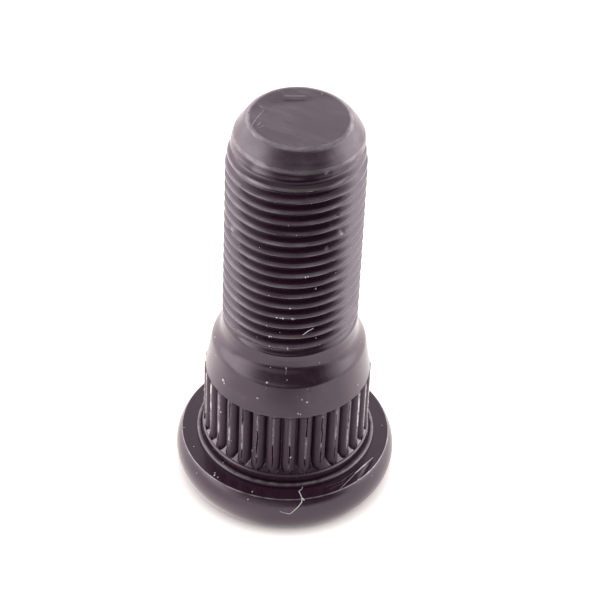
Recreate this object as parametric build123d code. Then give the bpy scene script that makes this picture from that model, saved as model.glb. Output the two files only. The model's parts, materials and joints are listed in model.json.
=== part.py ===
from build123d import *

import os
from math import cos, pi, radians, tan

# Driving dimensions, in millimetres and degrees.
# The stud stands on its head: the underside is at z = 0 and the axis is Z.

# Head
head_thickness = 5.5  # underside to seat
seat_width = 1.65  # flat seat between the raised ring and the rim
rim_bulge = 0.66  # how far the rim stands out past the seat's edge, at mid height
foot_inset = 0.8  # how far the underside's edge lies inside the seat's edge
foot_edge_round = 0.6
seat_edge_round = 0.15

# Raised ring round the foot of the shank
ring_height = 0.5  # above the seat
ring_outer_width = 0.55  # from the ring's crest out to the seat
ring_inner_width = 0.3  # from the ring's crest in to the collar
ring_inner_drop = 0.12  # how far the ring falls from its crest to the collar

# Splined shank, with heights above the seat
collar_height = 1.25
collar_proud = 0.15  # how far the collar stands out past the spline crests
spline_top_height = 10.5  # where the splines meet the shoulder
spline_proud = 2.0  # how far the spline crests stand out past the thread's crests
spline_count = 32
spline_depth = 0.7
spline_crest_width = 0.44
spline_root_width = 0.12
groove_foot_gap = 0.2  # plain band between the collar's bevel and the foot of each groove
groove_top_overlap = 0.1  # how far each groove runs up into the shoulder
groove_end_slope = 60  # the ramp at the lower end of each groove, from the horizontal
spline_turn = -2.2  # from +X to the first groove

# Shoulder between the splines and the thread
shoulder_step = 0.12  # how far the spline crests stand out past the shoulder
shoulder_height = 4.6
shoulder_taper = 9.4  # from the axis
shoulder_round = 3.0
run_in_slope = 27  # the slope from the shoulder to the thread, from the axis
run_in_round = 4.5
land_height = 1.2  # plain land between the run-in slope and the thread

# Metric fine thread, each turn a closed ring
thread_radius = 8.0  # over the crests
thread_pitch = 1.5
thread_turns = 17
taper_length = 7.8  # the turns next to the tip, not rolled to full height

# Tip
lead_step = 0.5  # how far the plain lead lies inside the thread's crests
lead_length = 0.3
chamfer_height = 2.5
chamfer_width = 1.65
lead_edge_round = 0.4
tip_edge_round = 0.45

# Standard proportions of a metric thread: the depth and the flat crest are shares of the pitch
THREAD_HALF_ANGLE = 30
THREAD_DEPTH_SHARE = 0.6134
THREAD_CREST_SHARE = 0.125

# How far a cutting section reaches past the metal, as a share of the depth of its cut
OVERLAP_SHARE = 0.1

# How much of a wall its rounds may take up: one at each end, or only one
PAIRED_ROUND_SHARE = 0.48
LONE_ROUND_SHARE = 0.96

# Radii that follow from the driving dimensions
spline_crest_radius = thread_radius + spline_proud
collar_radius = spline_crest_radius + collar_proud
ring_radius = collar_radius + ring_inner_width
ring_foot_radius = ring_radius + ring_outer_width
seat_edge_radius = ring_foot_radius + seat_width
rim_radius = seat_edge_radius + rim_bulge
foot_radius = seat_edge_radius - foot_inset
spline_root_radius = spline_crest_radius - spline_depth
shoulder_base_radius = spline_crest_radius - shoulder_step
shoulder_top_radius = shoulder_base_radius - shoulder_height * tan(radians(shoulder_taper))
thread_depth = THREAD_DEPTH_SHARE * thread_pitch
thread_root_radius = thread_radius - thread_depth
lead_radius = thread_radius - lead_step
tip_radius = lead_radius - chamfer_width

# Heights that follow from the driving dimensions
ring_crest_z = head_thickness + ring_height
collar_top_z = head_thickness + collar_height
spline_foot_z = collar_top_z + collar_proud
spline_top_z = head_thickness + spline_top_height
shoulder_top_z = spline_top_z + shoulder_height
run_in_height = (shoulder_top_radius - thread_radius) / tan(radians(run_in_slope))
run_in_top_z = shoulder_top_z + run_in_height
land_top_z = run_in_top_z + land_height
lead_z = land_top_z + thread_turns * thread_pitch
taper_z = lead_z - taper_length
chamfer_z = lead_z + lead_length
tip_z = chamfer_z + chamfer_height


def round_that_fits(wanted, turn, room):
    """Radius of a round: the wanted one, or a smaller one that takes up no more than its room."""
    return min(wanted, room / tan(radians(turn / 2)))


def turned(*points):
    """Solid of revolution about Z, from the corners of its half section."""
    return revolve(Plane.XZ * make_face(Polyline(*points, close=True)), Axis.Z)


def thread_outline():
    """Corners of the thread's turns in half section, from the land up to the plain lead."""
    flank_spread = tan(radians(THREAD_HALF_ANGLE))
    groove_half = thread_pitch * (1 - THREAD_CREST_SHARE) / 2
    root_half = groove_half - thread_depth * flank_spread

    def corner(crest_number, groove_z):
        crest_z = land_top_z + crest_number * thread_pitch
        crest_radius = thread_radius - lead_step * max(0, crest_z - taper_z) / taper_length
        reach = groove_half - (thread_radius - crest_radius) * flank_spread
        side = 1 if crest_z > groove_z else -1
        return (crest_radius, groove_z + side * reach)

    corners = []
    for number in range(thread_turns):
        groove_z = land_top_z + (number + 1 / 2) * thread_pitch
        corners.append(corner(number, groove_z))
        corners.append((thread_root_radius, groove_z - root_half))
        corners.append((thread_root_radius, groove_z + root_half))
        corners.append(corner(number + 1, groove_z))
    return corners


def make_blank():
    """The whole stud before its splines are cut, from one turned outline."""
    underside = Line((0, 0), (foot_radius, 0))
    rim = ThreePointArc(
        (foot_radius, 0),
        (rim_radius, head_thickness / 2),
        (seat_edge_radius, head_thickness),
    )
    seat = Line((seat_edge_radius, head_thickness), (ring_foot_radius, head_thickness))
    ring = ThreePointArc(
        (ring_foot_radius, head_thickness),
        (ring_radius, ring_crest_z),
        (collar_radius, ring_crest_z - ring_inner_drop),
    )
    run_in_wall = run_in_height / cos(radians(run_in_slope))
    run_in_room = PAIRED_ROUND_SHARE * run_in_wall
    land_room = LONE_ROUND_SHARE * land_height
    corners = {
        (collar_radius, ring_crest_z - ring_inner_drop): None,
        (collar_radius, collar_top_z): 0,
        (spline_crest_radius, spline_foot_z): 0,
        (spline_crest_radius, spline_top_z - shoulder_step): 0,
        (shoulder_base_radius, spline_top_z): 0,
        (shoulder_top_radius, shoulder_top_z): round_that_fits(
            shoulder_round, run_in_slope - shoulder_taper, run_in_room
        ),
        (thread_radius, run_in_top_z): round_that_fits(
            run_in_round, run_in_slope, min(run_in_room, land_room)
        ),
        **dict.fromkeys(thread_outline(), 0),
        (lead_radius, chamfer_z): min(lead_edge_round, lead_length),
        (tip_radius, tip_z): tip_edge_round,
        (0, tip_z): None,
    }
    rounds = [size for size in corners.values() if size is not None]
    shank = FilletPolyline(*corners, radius=rounds)
    axis_line = Line((0, tip_z), (0, 0))
    outline = make_face([underside, rim, seat, ring, *shank.edges(), axis_line]).face()
    foot_corner = outline.vertices().sort_by_distance((foot_radius, 0))[0]
    outline = outline.fillet_2d(foot_edge_round, [foot_corner])
    seat_corner = outline.vertices().sort_by_distance((seat_edge_radius, head_thickness))[0]
    outline = outline.fillet_2d(seat_edge_round, [seat_corner])
    return revolve(Plane.XZ * outline, Axis.Z)


def make_spline_groove():
    """One groove between two splines, at +X: a V that ramps out at its lower end."""
    spline_pitch = 2 * pi * spline_crest_radius / spline_count
    root_half = spline_root_width / 2
    crest_half = (spline_pitch - spline_crest_width) / 2
    spread = (crest_half - root_half) / spline_depth
    mouth_radius = spline_crest_radius + OVERLAP_SHARE * spline_depth
    mouth_half = crest_half + (mouth_radius - spline_crest_radius) * spread
    section = make_face(
        Polyline(
            (spline_root_radius, -root_half),
            (mouth_radius, -mouth_half),
            (mouth_radius, mouth_half),
            (spline_root_radius, root_half),
            close=True,
        )
    )

    def ramp_z(radius):
        rise = (spline_crest_radius - radius) * tan(radians(groove_end_slope))
        return spline_foot_z + groove_foot_gap + rise

    foot_z = ramp_z(mouth_radius)
    top_z = spline_top_z + groove_top_overlap
    groove = extrude(Pos(0, 0, foot_z) * section, top_z - foot_z)
    ramp_inner = spline_root_radius - spline_depth
    ramp_outer = spline_crest_radius + spline_depth
    ramp = turned(
        (ramp_inner, ramp_z(ramp_outer)),
        (ramp_outer, ramp_z(ramp_outer)),
        (ramp_inner, ramp_z(ramp_inner)),
    )
    return groove - ramp


def make_stud():
    """The whole stud, one piece of steel."""
    blank = make_blank()
    groove = Rot(0, 0, spline_turn) * make_spline_groove()
    stud = blank - [Rot(0, 0, number * 360 / spline_count) * groove for number in range(spline_count)]
    return stud.solid()


os.makedirs("parts", exist_ok=True)
export_step(make_stud(), "parts/wheel_stud.step")
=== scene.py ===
# A black steel wheel stud standing on its head, with splines, a rolled thread and a worn, dusty finish.
import json
from math import atan2, ceil, cos, hypot, pi, radians, sin, tan, tau
from random import Random

import bpy
from mathutils import Matrix, Vector, noise
from mathutils.bvhtree import BVHTree


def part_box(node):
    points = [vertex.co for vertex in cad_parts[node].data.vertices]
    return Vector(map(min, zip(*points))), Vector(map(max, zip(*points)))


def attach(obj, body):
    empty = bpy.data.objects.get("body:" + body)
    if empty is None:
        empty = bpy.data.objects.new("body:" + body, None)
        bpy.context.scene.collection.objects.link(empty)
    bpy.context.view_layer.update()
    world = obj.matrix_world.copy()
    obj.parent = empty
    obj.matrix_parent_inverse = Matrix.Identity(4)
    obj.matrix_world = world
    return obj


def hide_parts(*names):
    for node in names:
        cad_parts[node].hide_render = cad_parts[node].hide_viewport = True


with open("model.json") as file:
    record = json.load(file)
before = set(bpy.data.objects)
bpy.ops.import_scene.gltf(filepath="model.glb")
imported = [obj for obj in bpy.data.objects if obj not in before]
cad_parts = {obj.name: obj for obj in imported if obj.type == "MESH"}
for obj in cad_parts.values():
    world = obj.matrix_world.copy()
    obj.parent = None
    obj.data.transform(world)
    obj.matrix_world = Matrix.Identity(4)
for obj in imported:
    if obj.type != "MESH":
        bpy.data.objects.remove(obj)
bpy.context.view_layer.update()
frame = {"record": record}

# Lengths are in millimetres unless a comment says otherwise, and the meshes are made in metres.
# A turn is an angle round the axis from the stud's front, positive to the right.
MM = 0.001

# How worn a point is, and how much painted shade or highlight it carries: dull black below 0, which is
# partly painted shade in grooves and hollows, bare steel from 0 to 1, brighter steel from there up to 2,
# which is mostly painted highlight
DULL_BLACK_AND_SHADE = -1.0
BARE = 1.0
BRIGHTEST_AND_HIGHLIGHT = 2.0

# Sizes that the frame gives
mounts = {mount["name"]: mount for mount in frame["record"]["mounts"]}
TIP_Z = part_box("wheel_stud")[1].z / MM
SEAT_Z = mounts["hub_seat"]["pos_m"][2] / MM
THREAD_R = mounts["nut_thread"]["dims"]["r_mm"]
SPLINE_R = mounts["hub_press_fit"]["dims"]["r_mm"]

# Head and raised ring, each size from the one next to it
COLLAR_R = SPLINE_R + 0.15
RING_R = COLLAR_R + 0.3
RING_FOOT_R = RING_R + 0.32
RING_IN_R = RING_R - 0.2
SEAT_EDGE_R = RING_FOOT_R + 1.88
RIM_R = SEAT_EDGE_R + 0.655
FOOT_R = SEAT_EDGE_R - 0.8
RING_Z = SEAT_Z + 0.5
RING_INNER_Z = RING_Z - 0.22
FOOT_ROUND = 0.45
SEAT_ROUND = 0.07

# Points along the head's outline
UNDERSIDE_SHARES = (0.3, 0.6, 0.85)  # of the underside's radius
FOOT_EDGE_STEPS = 5
RIM_STEPS = 40
FOOT_ROUND_STEP = 3  # the underside's rounded edge ends at this step of the rim
SEAT_STEPS = 12
RING_STEPS = 12

# Wear over the seat's rounded edge and on the raised ring, made brighter at the sides as a painted
# highlight
SEAT_EDGE_WEAR = (0.0, 0.45, 0.75, 0.45, 0.0)
RING_WEAR = 0.4
RING_WEAR_RISE = (SEAT_Z + 0.38, RING_Z)
EDGE_WEAR_AND_SIDE_HIGHLIGHT = (0.7, 0.6)  # share of it at the front, and added at the sides
EDGE_UNEVEN = (1, 1.3)
EDGE_NOISE = (13, 3.1)  # its scale round the head, and its own place in the noise

# A gouge in the seat, along a straight line, painted dull black as shade in its hollow
GOUGE_START = (9.35, -8.1)
GOUGE_END = (10.5, -5.6)
GOUGE_HALF = 0.26
GOUGE_DEPTH = 0.22
GOUGE_BLUNT = 0.1  # how blunt its ends are: 0 is sharp

# Splines: V-grooves pressed between the collar and the shoulder
COLLAR_TOP_Z = SEAT_Z + 1.25
SPLINE_FOOT_Z = COLLAR_TOP_Z + 0.15
GROOVE_FOOT_Z = SPLINE_FOOT_Z + 0.2
SPLINE_TOP_Z = SEAT_Z + 10.5
GROOVE_TOP_Z = SPLINE_TOP_Z + 0.1
SPLINE_COUNT = 32
SPLINE_DEPTH = 0.7
SPLINE_PITCH = tau * SPLINE_R / SPLINE_COUNT
FLANK_CURVE = 2.8  # how round the flanks are: 1 is a plain V
GROOVE_RAMP = tan(radians(57))
FIRST_GROOVE = radians(87.8)
SPLINE_ROW = 0.16  # between rows of points up the splines
TOP_ROW_GAP = 0.01  # between the last two rows

# Places across a spline, as shares of the spline pitch from a groove's middle
FLOOR_SHARE = 0.08 / SPLINE_PITCH  # edge of the groove's flat floor
# Up to this share from the groove's middle the groove stays dull black, partly oxide and partly painted
# shade deep in the groove
SLIT_SHARE = 0.2  # dullest black up to here
# Beyond this share the crests' edges take a painted highlight at the sides
EDGE_SHARE = 0.42  # rubbed bright beyond this
LIP_SHARE = 0.44  # the crest's two lips lie beyond this
CREST_SHARE = 0.5  # middle of the crest
HALF_SPLINE = (FLOOR_SHARE, 0.1, 0.17, 0.25, 0.34, 0.425, 0.455)
SPLINE_POINTS = tuple(-share for share in reversed(HALF_SPLINE)) + HALF_SPLINE + (CREST_SHARE,)
COARSE_STEP = 3  # every third of those points goes on into the plain turned surfaces

# Slit along each groove's floor, and the torn pocket where the groove meets its ramp, which is painted dull
# black as a painted shadow under the burr
SLIT_DEPTH = 0.32
SLIT_RISE = (0.1, 0.6)  # the slit deepens over this depth past the ramp
CRACK_DEPTH = (0.24, 0.2)  # at the front, and added at the sides
CRACK_SHARE = (0.6, 1.5)
CRACK_REACH = 0.3
ROUNDING = 0.001  # a point right on the ramp's edge counts as past it

# Wear at the grooves' top, painted light on the flanks and ramps at the sides, and a painted highlight on
# the crests' edges at the sides
TOP_EDGE_WEAR = 0.08
FLANK_SIDE_LIGHT = 0.2  # added to the flanks' dull black at the sides
RAMP_SIDE_HIGHLIGHT = 0.6  # at the sides
SIDE_HIGHLIGHT_RISE = (SPLINE_FOOT_Z + 0.8, SPLINE_FOOT_Z + 3.5)
CREST_EDGE_HIGHLIGHT = (1.6, 1.5)

# Lips of the crests, uneven and worn, brighter at the sides as a painted highlight, with a split between
# them
LIP_RISE = (SPLINE_FOOT_Z + 0.6, SPLINE_FOOT_Z + 2.5)
LIP_END = (GROOVE_TOP_Z, GROOVE_TOP_Z - 0.5)
LIP_HEIGHT = 0.05
LIP_DROP = 0.4  # share of that height that the lips lie lower on average
BURR_HEIGHT = (0.03, 0.06)  # at the front, and added at the sides
CREST_WANDER = 0.045  # share of the spline pitch
LIP_WEAR = 0.9
LIP_UNEVEN = 1.1
BURR_WEAR = 0.9
LIP_SIDE_HIGHLIGHT = 1.6
LIP_WEAR_AND_HIGHLIGHT_SHARE = (0.3, 0.7)  # at the front, and added at the sides
SPLIT_DEPTH = 0.34
SPLIT_SHARE = (0.3, 4)

# Noise on the splines and the thread: its scales across and upward, and its own place in the noise
CREST_EDGE_HIGHLIGHT_NOISE = (4.3, 1.7, 7.1)
LIP_NOISE = (5.1, 0.9, 3.7)
BURR_NOISE = (2.7, 2.1, 5.3)
WANDER_NOISE = (3.3, 0.6, 9.2)
SPLIT_NOISE = (7.7, 0.5, 4.4)
CRACK_NOISE = (9, 1.5, 2.2)
CREST_NOISE = (2.5, 1.4, 1.0)
RIGHT_PATCH_NOISE = (3, 0.9, 6.0)

# Shoulder, run-in and tip
SHOULDER_STEP = 0.12
SHOULDER_BASE_R = SPLINE_R - SHOULDER_STEP
SHOULDER_SLOPE = -tan(radians(9.4))
SHOULDER_TOP_Z = SPLINE_TOP_Z + 4.45
SHOULDER_TOP_R = SHOULDER_BASE_R + SHOULDER_SLOPE * (SHOULDER_TOP_Z - SPLINE_TOP_Z)
SHOULDER_ROWS = tuple(GROOVE_TOP_Z + above for above in (0.25, 0.8, 1.5, 2.2))
RUN_IN_SLOPE = -tan(radians(32))
RUN_IN_TOP_Z = SHOULDER_TOP_Z + 1.55
RUN_IN_TOP_R = SHOULDER_TOP_R + RUN_IN_SLOPE * (RUN_IN_TOP_Z - SHOULDER_TOP_Z)
LAND_TOP_Z = RUN_IN_TOP_Z + 1.6
LAND_SLOPE = (THREAD_R - RUN_IN_TOP_R) / (LAND_TOP_Z - RUN_IN_TOP_Z)
TIP_R = 5.87
TIP_ROUND = 0.42
CHAMFER_SLOPE = -0.66
CHAMFER_R = 7.35
CHAMFER_Z = TIP_Z + (CHAMFER_R - TIP_R) / CHAMFER_SLOPE
TAPER_LENGTH = 3.58
TAPER_Z = CHAMFER_Z - TAPER_LENGTH

# Corners of the shank above the splines: height, slope past the corner, reach of its round
SHANK_CORNERS = (
    (SHOULDER_TOP_Z, RUN_IN_SLOPE, 0.34),
    (RUN_IN_TOP_Z, LAND_SLOPE, 0.6),
    (LAND_TOP_Z, 0.0, 0.3),
    (TAPER_Z, (CHAMFER_R - THREAD_R) / TAPER_LENGTH, 0.6),
    (CHAMFER_Z, CHAMFER_SLOPE, 0.2),
)

# The lead and the chamfer stand a little off the axis, and the chamfer is fuller on one side
LEAD_SHIFT = 0.17
LEAD_SHIFT_TURN = radians(105)
BULGE = 0.14
BULGE_TURN = radians(115)
BULGE_HALF = radians(80)
BULGE_RISE = (CHAMFER_Z - 0.8, CHAMFER_Z + 0.6)
BULGE_END = (TIP_Z - 0.5, TIP_Z - 1.05)

# Faint lines that the tool left round the chamfer
TOOL_LINE = 0.008
TOOL_LINE_PITCH = 0.64
TOOL_LINE_RISE = (CHAMFER_Z + 0.1, CHAMFER_Z + 0.4)

# Right-hand metric thread
PITCH = 1.5
THREAD_DEPTH = 0.6134 * PITCH
CREST_HALF = PITCH / 17
CREST_ROUND = 0.03
ROOT_ROUND = 0.12
FLANK = tan(radians(30))
FRONT_CREST_Z = TIP_Z - 4.47  # one crest, where it faces the front
RUN_OUT = (LAND_TOP_Z + 0.1, LAND_TOP_Z + 2.5)
LEAD_OUT = (CHAMFER_Z - 0.93, CHAMFER_Z - 0.23)
# Rows of points up one turn, as shares of the pitch above a crest's middle
TURN_ROWS = (0.0, 0.04, 0.075, 0.19, 0.31, 0.4, 0.45, 0.5, 0.55, 0.6, 0.69, 0.81, 0.925, 0.96)
GRID_TURNS = 21
GRID_DROP = 1.7  # the rows start at least this far below the shoulder's top
TIP_BASE_GAP = 0.12  # between the rows' end and the tip's rounded rim

# Wear of the thread's crests
CREST_EDGE = 0.1  # how far it reaches past a crest's flat
CREST_DENT = 0.02
CREST_WEAR = 0.28
CREST_UNEVEN = 0.45
TIP_CREST_WEAR = 0.3  # added near the tip
TIP_CREST_RISE = (TIP_Z - 7, TIP_Z - 4.6)
TIP_CREST_END = (TIP_Z - 3.2, TIP_Z - 3.8)

# A patch on the right side of the thread, shallower and lighter, with duller crests
RIGHT_PATCH_START = (radians(36), radians(57))
RIGHT_PATCH_END = (radians(100), radians(78))
RIGHT_PATCH_FILL = 0.25  # share of the thread's depth that it takes away
RIGHT_PATCH_DULL = 0.7  # share of the crests' wear that it takes away
RIGHT_PATCH_LIGHTER = (0.15, 0.14)

# Wear of the chamfer and of the edge at its foot
CHAMFER_WEAR = 0.1
CHAMFER_WEAR_RISE = (CHAMFER_Z, CHAMFER_Z + 0.3)
LEAD_EDGE_WEAR = (0.6, 0.3)
LEAD_EDGE_REACH = (0.35, 0.1)
LEAD_EDGE_DROP = 0.05  # how far the edge's wear lies below the chamfer's foot

# Nicks in the thread and the chamfer: turn in degrees, height, reach and depth
NICKS = (
    (-65.0, 38.5, 0.7, 0.3),
    (-50.0, 36.5, 0.4, 0.5),
    (36.8, 43.4, 0.35, 0.1),
    (43.5, 40.7, 0.35, 0.12),
    (13.1, 39.5, 0.3, 0.08),
    (29.3, 39.2, 0.3, 0.08),
    (11.3, 47.7, 0.3, 0.06),
    (64.0, 49.2, 0.5, 0.2),
    (27.5, 49.6, 0.35, 0.1),
)
NICK_WIDTH = 1.6  # how many times wider than high a nick is
NICK_FLOOR = 0.3  # share of a nick's reach that has its full depth

# Flat end
FACE_DROP = 0.14  # from the highest point down to the middle of the flat end
FACE_Z = TIP_Z - FACE_DROP
FACE_LEAN = 0.01  # rise towards the back
FLAT_STEPS = 36
TIP_EDGE_STEPS = 6

# A low rectangular pad on the flat end, with soft edges
PAD_MIDDLE = (-0.47, 3.5)
PAD_HALF = (1.2, 0.42)
PAD_HEIGHT = 0.022
PAD_TURN = radians(4)
PAD_EDGE = 0.08

# Facets at the edge of the flat end: a point on each crease, the way across it, its fall and the reach
# of its round; a fall below 0 is a rise
TIP_FACETS = (
    ((-4.5, -0.65), radians(158), 0.02, 0.08),
    ((-0.5, 2.7), radians(108), -0.03, 0.4),
)

# Wear of the flat end's rim, which is partly a painted highlight along it, with a barer patch at the left
# of the front
TIP_RIM_WEAR_AND_HIGHLIGHT = (0.75, 0.35)
TIP_RIM_NOISE = (4, 0.5)  # its scale round the rim, and its own place in the noise
TIP_PATCH_WEAR = 0.4
TIP_PATCH_TURN = radians(-48)
TIP_PATCH_REACH = (radians(30), radians(10))


def held(value, low=0, high=1):
    """A value kept between two others."""
    return min(max(value, low), high)


def ramp(distance, reach):
    """0 before a corner and the distance past it after, bent smoothly over the reach on both sides."""
    past = held(distance + reach, 0, 2 * reach)
    return past ** 2 / (4 * reach) + max(distance - reach, 0)


def ease(start, end, value):
    """Smooth step from 0 at the start to 1 at the end."""
    share = held((value - start) / (end - start))
    return share * share * (3 - 2 * share)


def uneven(*place):
    """Smooth noise between about -1 and 1 at a place of up to three numbers."""
    return noise.noise(Vector((*place, 0, 0)[:3]))


def patchy(across, height, scales, side=1):
    """Noise at a place across the stud, by its turn or its crest, and up it."""
    scale_across, scale_up, lane = scales
    return uneven(across * scale_across, height * scale_up, side * lane)


def varied(amounts, value):
    """The first of two amounts, plus as much of the second as a value says."""
    return amounts[0] + amounts[1] * value


def neighbours(count):
    """Pairs of places next to each other round a closed ring."""
    return [(near, (near + 1) % count) for near in range(count)]


class Skin:
    """Points and faces of closed surfaces, with how worn each point is and how much painted shade or
    highlight it carries.
    """

    def __init__(self):
        self.points = []
        self.faces = []
        self.wear_and_painted_light = []

    def point(self, turn, radius, height, wear_and_painted_light=0.0):
        """A point by its turn, its radius and its height, with how worn it is or how much painted shade or
        highlight it carries.
        """
        self.points.append((radius * sin(turn), -radius * cos(turn), height))
        self.wear_and_painted_light.append(held(wear_and_painted_light, DULL_BLACK_AND_SHADE, BRIGHTEST_AND_HIGHLIGHT))
        return len(self.points) - 1

    def spot(self, place, wear_and_painted_light=0.0):
        """A point by its place, kept within the widest part of the head."""
        x, y, z = place
        keep = min(RIM_R / hypot(x, y), 1)
        self.points.append((keep * x, keep * y, min(z, TIP_Z)))
        self.wear_and_painted_light.append(wear_and_painted_light)
        return len(self.points) - 1

    def join(self, lower, upper):
        """A band of four-sided faces between two rings with as many points."""
        for near, far in neighbours(len(lower)):
            self.faces.append((lower[near], lower[far], upper[far], upper[near]))

    def fold(self, lower, upper, rising):
        """A band of triangles, each pair cut from the lower left to the upper right where it is rising."""
        for near, far in neighbours(len(lower)):
            a, b, c, d = lower[near], lower[far], upper[far], upper[near]
            self.faces += [(a, b, c), (a, c, d)] if rising[near] else [(a, b, d), (b, c, d)]

    def graft(self, coarse, fine, step, upward):
        """A band between a ring and one with several times as many points, which lies above or below it."""
        for near, far in neighbours(len(coarse)):
            parts = [fine[(near * step + part) % len(fine)] for part in range(step + 1)]
            if upward:
                self.faces.append((coarse[near], coarse[far], *reversed(parts)))
            else:
                self.faces.append((*parts, coarse[far], coarse[near]))

    def stack(self, rings):
        """Bands of four-sided faces from each ring to the next."""
        for lower, upper in zip(rings, rings[1:]):
            self.join(lower, upper)

    def cap(self, ring, height, upward):
        """Closes a ring with triangles that meet on the axis."""
        middle = self.point(0, 0, height)
        for near, far in neighbours(len(ring)):
            edge = (ring[near], ring[far]) if upward else (ring[far], ring[near])
            self.faces.append((*edge, middle))

    def to_object(self, name, sharp_angle):
        """A smooth mesh in metres, with edges sharp above an angle in degrees."""
        mesh = bpy.data.meshes.new(name)
        mesh.from_pydata([Vector(point) * MM for point in self.points], [], self.faces)
        mesh.attributes.new("wear_and_painted_light", "FLOAT", "POINT").data.foreach_set("value", self.wear_and_painted_light)
        mesh.shade_smooth()
        mesh.set_sharp_from_angle(angle=radians(sharp_angle))
        piece = bpy.data.objects.new(name, mesh)
        bpy.context.collection.objects.link(piece)
        return piece


# Head


def bend(start, corner, end, steps):
    """Points of a rounded corner, from its start to its end."""
    points = []
    for step in range(steps + 1):
        share = step / steps
        weights = ((1 - share) ** 2, 2 * share * (1 - share), share ** 2)
        weighted = list(zip(weights, (start, corner, end)))
        points.append(tuple(sum(weight * place[axis] for weight, place in weighted) for axis in (0, 1)))
    return points


def arc_through(first, middle, last, steps):
    """Points of the arc from the first point through the middle one to the last, going anticlockwise."""
    (ax, ay), (bx, by), (cx, cy) = first, middle, last
    spread = 2 * (ax * (by - cy) + bx * (cy - ay) + cx * (ay - by))
    a, b, c = ax ** 2 + ay ** 2, bx ** 2 + by ** 2, cx ** 2 + cy ** 2
    x = (a * (by - cy) + b * (cy - ay) + c * (ay - by)) / spread
    y = (a * (cx - bx) + b * (ax - cx) + c * (bx - ax)) / spread
    radius = hypot(ax - x, ay - y)
    start = atan2(ay - y, ax - x)
    sweep = (atan2(cy - y, cx - x) - start) % tau
    angles = [start + sweep * step / steps for step in range(steps + 1)]
    return [(x + radius * cos(angle), y + radius * sin(angle)) for angle in angles]


def head_outline():
    """Radius, height and wear up the head, from the underside to the foot of the splines."""
    underside = [(share * FOOT_R, 0) for share in UNDERSIDE_SHARES]
    rim = arc_through((FOOT_R, 0), (RIM_R, SEAT_Z / 2), (SEAT_EDGE_R, SEAT_Z), RIM_STEPS)
    foot_edge = bend((FOOT_R - FOOT_ROUND, 0), (FOOT_R, 0), rim[FOOT_ROUND_STEP], FOOT_EDGE_STEPS)
    seat_r = SEAT_EDGE_R - SEAT_ROUND
    seat_edge = bend(rim[-2], (SEAT_EDGE_R, SEAT_Z), (seat_r, SEAT_Z), len(SEAT_EDGE_WEAR) - 1)
    seat_width = seat_r - RING_FOOT_R
    seat_steps = range(SEAT_STEPS - 1, 0, -1)
    seat = [(RING_FOOT_R + seat_width * step / SEAT_STEPS, SEAT_Z) for step in seat_steps]
    ring = arc_through((RING_FOOT_R, SEAT_Z), (RING_R, RING_Z), (RING_IN_R, RING_INNER_Z), RING_STEPS)
    collar_heights = (RING_INNER_Z, (RING_INNER_Z + COLLAR_TOP_Z) / 2, COLLAR_TOP_Z)
    outline = [(*point, 0.0) for point in underside + foot_edge + rim[FOOT_ROUND_STEP + 1:-2]]
    outline += [(*point, wear_and_painted_light) for point, wear_and_painted_light in zip(seat_edge, SEAT_EDGE_WEAR)]
    outline += [(*point, 0.0) for point in seat]
    outline += [(*point, RING_WEAR * ease(*RING_WEAR_RISE, point[1])) for point in ring]
    outline += [(COLLAR_R, height, 0.0) for height in collar_heights]
    return outline


def head_point(turn, radius, height, wear_and_painted_light):
    """Radius, height and wear of one point of the head, with the gouge in painted shade and brighter edges
    at the sides as a painted highlight.
    """
    spots = varied(EDGE_UNEVEN, uneven(EDGE_NOISE[0] * turn, EDGE_NOISE[1]))
    # Edges are brighter at the sides: a painted highlight
    wear_and_painted_light *= varied(EDGE_WEAR_AND_SIDE_HIGHLIGHT, sin(turn) ** 2) * spots
    if radius < RING_FOOT_R or height < SEAT_Z:
        return radius, height, wear_and_painted_light
    place = Vector((radius * sin(turn), -radius * cos(turn)))
    start, end = Vector(GOUGE_START), Vector(GOUGE_END)
    along = held((place - start).dot(end - start) / (end - start).length_squared)
    taper = sin(pi * (GOUGE_BLUNT + (1 - 2 * GOUGE_BLUNT) * along))
    gouge = taper * ease(GOUGE_HALF, 0, (place - start.lerp(end, along)).length)
    # The gouge is also painted dull black: painted shade in its hollow
    return radius, height - GOUGE_DEPTH * gouge, wear_and_painted_light - gouge


# Splines


def spline_turns():
    """Turn, groove number and share of the pitch of each point round the splines, from the back."""
    spline_pitch = tau / SPLINE_COUNT
    turns = []
    for number in range(SPLINE_COUNT):
        middle = FIRST_GROOVE + number * spline_pitch
        turns += [(middle + share * spline_pitch, number, share) for share in SPLINE_POINTS]
    turns = [((turn + pi) % tau - pi, number, share) for turn, number, share in turns]
    return sorted(turns)


def spline_base(height):
    """Radius over the spline crests, with the bevel up to the shoulder."""
    if height > SPLINE_TOP_Z:
        return SHOULDER_BASE_R + SHOULDER_SLOPE * (height - SPLINE_TOP_Z)
    return SPLINE_R - max(height - (SPLINE_TOP_Z - SHOULDER_STEP), 0)


def groove_depth(share):
    """Depth of a groove at a share of the spline pitch from its middle: a flat floor and rounded flanks."""
    up = (abs(share) - FLOOR_SHARE) / (CREST_SHARE - FLOOR_SHARE)
    return SPLINE_DEPTH * (1 - max(up, 0)) ** FLANK_CURVE


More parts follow.
